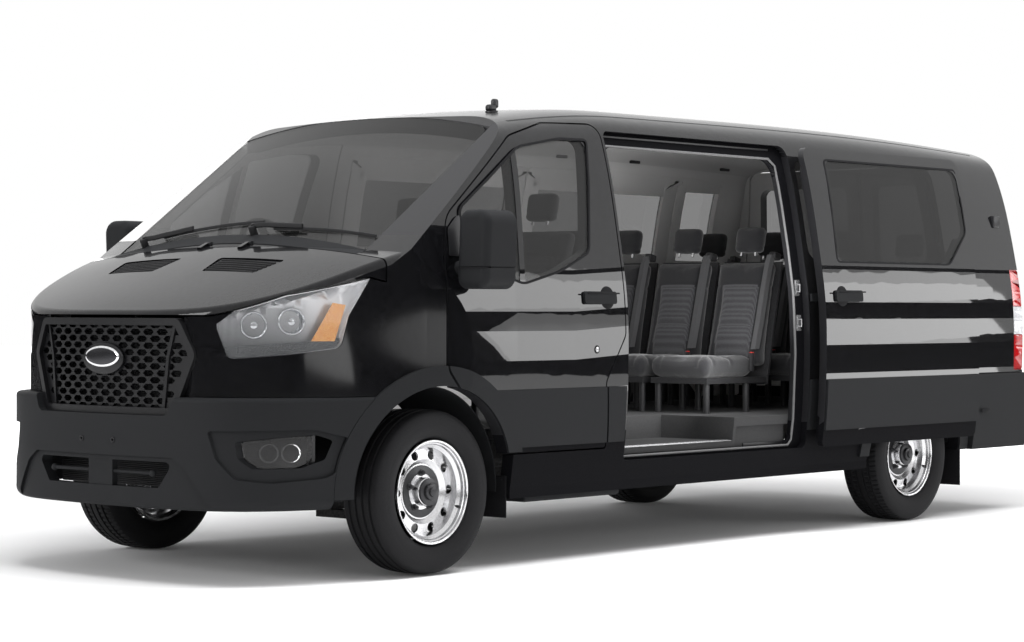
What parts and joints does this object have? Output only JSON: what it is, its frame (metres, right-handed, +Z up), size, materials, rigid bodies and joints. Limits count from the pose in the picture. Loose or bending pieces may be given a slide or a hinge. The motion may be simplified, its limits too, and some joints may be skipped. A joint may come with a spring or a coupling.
{
  "type": "minibus",
  "caption": "Low-roof passenger minibus on a long wheelbase with an open sliding side door, hinged front doors, rear doors and bonnet, and rows of seats inside.",
  "frame": {"origin": "on the ground below the middle of the bounding box", "axes": "+X forward, +Y to the vehicle's left, +Z up"},
  "size_m": [5.982, 2.4686, 2.0982],
  "materials": {
    "paint": "gloss",
    "floor": "matte",
    "black_plastic": "matte",
    "dash": "matte",
    "screen_glass": "gloss",
    "dark_glass": "gloss",
    "bumper_plastic": "textured",
    "gloss_black": "gloss",
    "lamp_lens": "gloss",
    "tail_lens": "gloss",
    "seat_cloth": "matte",
    "black_steel": "satin",
    "cast_metal": "satin",
    "wheel_steel": "satin",
    "tyre": "matte"
  },
  "bodies": {
    "body_shell": {"floor_pan": "floor", "side_wall_left": "paint", "side_wall_right": "paint", "roof": "paint", "wings": "paint", "scuttle": "black_plastic", "dashboard": "dash", "steering_wheel": "dash", "windscreen": "screen_glass", "side_glass": "dark_glass", "front_bumper": "bumper_plastic", "grille": "gloss_black", "headlamps": "lamp_lens", "fog_lamps": "lamp_lens", "tail_lamps": "tail_lens", "rear_bumper": "bumper_plastic", "sliding_door": "paint", "sliding_door_trim": "bumper_plastic", "door_track": "black_plastic", "cladding": "bumper_plastic", "front_seats": "seat_cloth", "seat_row_2": "seat_cloth", "seat_row_3": "seat_cloth", "seat_row_4": "seat_cloth", "seat_frames": "black_steel", "chassis_rails": "black_steel", "engine": "cast_metal", "rear_axle": "black_steel", "front_suspension": "black_steel", "underbody": "black_steel", "rear_door_hinges": "black_plastic"},
    "front_door_left": {"front_door_left": "paint", "front_door_glass_left": "dark_glass", "front_door_trim_left": "bumper_plastic"},
    "front_door_right": {"front_door_right": "paint", "front_door_glass_right": "dark_glass", "front_door_trim_right": "bumper_plastic"},
    "rear_door_left": {"rear_door_left": "paint", "rear_door_glass_left": "dark_glass"},
    "rear_door_right": {"rear_door_right": "paint", "rear_door_glass_right": "dark_glass"},
    "bonnet": {"bonnet": "paint"},
    "knuckle_left": {"knuckle_left": "cast_metal"},
    "knuckle_right": {"knuckle_right": "cast_metal"},
    "wheel_front_left": {"rim_front_left": "wheel_steel", "tyre_front_left": "tyre"},
    "wheel_front_right": {"rim_front_right": "wheel_steel", "tyre_front_right": "tyre"},
    "wheel_rear_left": {"rim_rear_left": "wheel_steel", "tyre_rear_left": "tyre"},
    "wheel_rear_right": {"rim_rear_right": "wheel_steel", "tyre_rear_right": "tyre"}
  },
  "joints": [
    {"name": "front_door_left_hinge", "type": "hinge", "parent": "body_shell", "child": "front_door_left", "pos_m": [1.941, 1.034, 1], "axis": [0, 0, -1], "range_deg": [0, 68]},
    {"name": "rear_door_left_hinge", "type": "hinge", "parent": "body_shell", "child": "rear_door_left", "pos_m": [-2.892, 0.85, 1], "axis": [0, 0, -1], "range_deg": [0, 180]},
    {"name": "front_door_right_hinge", "type": "hinge", "parent": "body_shell", "child": "front_door_right", "pos_m": [1.941, -1.034, 1], "axis": [0, 0, 1], "range_deg": [0, 68]},
    {"name": "rear_door_right_hinge", "type": "hinge", "parent": "body_shell", "child": "rear_door_right", "pos_m": [-2.892, -0.85, 1], "axis": [0, 0, 1], "range_deg": [0, 180]},
    {"name": "bonnet_hinge", "type": "hinge", "parent": "body_shell", "child": "bonnet", "pos_m": [2.257, 0, 1.412], "axis": [0, -1, 0], "range_deg": [0, 50]},
    {"name": "steering_left", "type": "hinge", "parent": "body_shell", "child": "knuckle_left", "pos_m": [1.968, 0.8, 0.353], "axis": [0, 0, 1], "range_deg": [-35, 35]},
    {"name": "wheel_spin_front_left", "type": "hinge", "parent": "knuckle_left", "child": "wheel_front_left", "pos_m": [1.968, 0.866, 0.353], "axis": [0, 1, 0], "continuous": true},
    {"name": "wheel_spin_rear_left", "type": "hinge", "parent": "body_shell", "child": "wheel_rear_left", "pos_m": [-1.782, 0.8715, 0.353], "axis": [0, 1, 0], "continuous": true},
    {"name": "steering_right", "type": "hinge", "parent": "body_shell", "child": "knuckle_right", "pos_m": [1.968, -0.8, 0.353], "axis": [0, 0, 1], "range_deg": [-35, 35]},
    {"name": "wheel_spin_front_right", "type": "hinge", "parent": "knuckle_right", "child": "wheel_front_right", "pos_m": [1.968, -0.866, 0.353], "axis": [0, 1, 0], "continuous": true},
    {"name": "wheel_spin_rear_right", "type": "hinge", "parent": "body_shell", "child": "wheel_rear_right", "pos_m": [-1.782, -0.8715, 0.353], "axis": [0, 1, 0], "continuous": true}
  ],
  "couplings": [
    {"joint": "steering_right", "follows": "steering_left", "ratio": 1}
  ]
}
